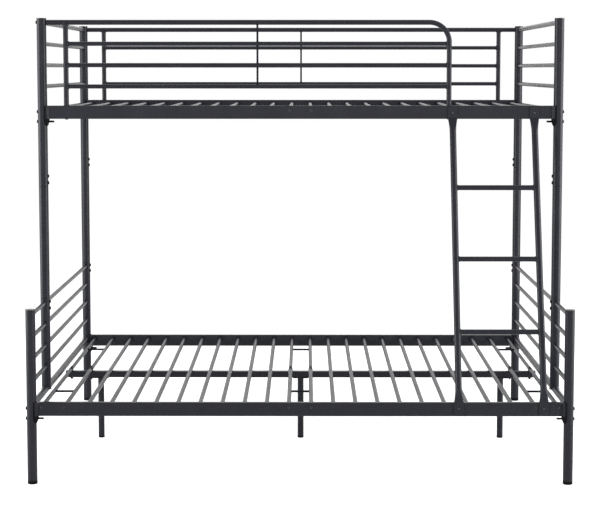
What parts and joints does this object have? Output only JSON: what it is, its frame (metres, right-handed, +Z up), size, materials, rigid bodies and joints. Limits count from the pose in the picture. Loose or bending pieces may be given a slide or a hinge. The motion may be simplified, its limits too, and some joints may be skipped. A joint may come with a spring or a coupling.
{
  "type": "bunk bed",
  "caption": "Steel tube bunk bed with a narrow deck over a wide one, round posts, barred ends, guards on the upper deck and a leaning ladder.",
  "frame": {"origin": "centre of the bed's footprint, on the floor under the feet", "axes": "+X along the bed towards the end with the ladder, +Y from the ladder side to the wall side, +Z up"},
  "size_m": [1.9886, 1.4274, 1.694],
  "materials": {
    "frame_steel": "satin powder coat",
    "bolt_steel": "satin",
    "plastic": "matte"
  },
  "bodies": {
    "root": {"centre_rail": "frame_steel", "front_guard": "frame_steel", "front_left_post_extension": "frame_steel", "front_right_post_extension": "frame_steel", "guard_end_bolts": "bolt_steel", "ladder": "frame_steel", "ladder_bolts": "bolt_steel", "ladder_rungs": "frame_steel", "left_centre_leg": "frame_steel", "left_cross_frame_front": "frame_steel", "left_cross_frame_rear": "frame_steel", "leg_feet": "plastic", "lower_front_side_rail": "frame_steel", "lower_left_end_frame": "frame_steel", "lower_rear_side_rail": "frame_steel", "lower_right_end_frame": "frame_steel", "lower_slats": "frame_steel", "middle_centre_leg": "frame_steel", "middle_cross_frame_front": "frame_steel", "middle_cross_frame_rear": "frame_steel", "post_caps": "plastic", "post_feet": "plastic", "post_joint_bolts": "bolt_steel", "rail_bolts": "bolt_steel", "rear_guard": "frame_steel", "rear_left_post_extension": "frame_steel", "rear_right_post_extension": "frame_steel", "right_centre_leg": "frame_steel", "right_cross_frame_front": "frame_steel", "right_cross_frame_rear": "frame_steel", "upper_front_side_rail": "frame_steel", "upper_left_end_frame": "frame_steel", "upper_rear_side_rail": "frame_steel", "upper_right_end_frame": "frame_steel", "upper_slats": "frame_steel"}
  },
  "joints": []
}
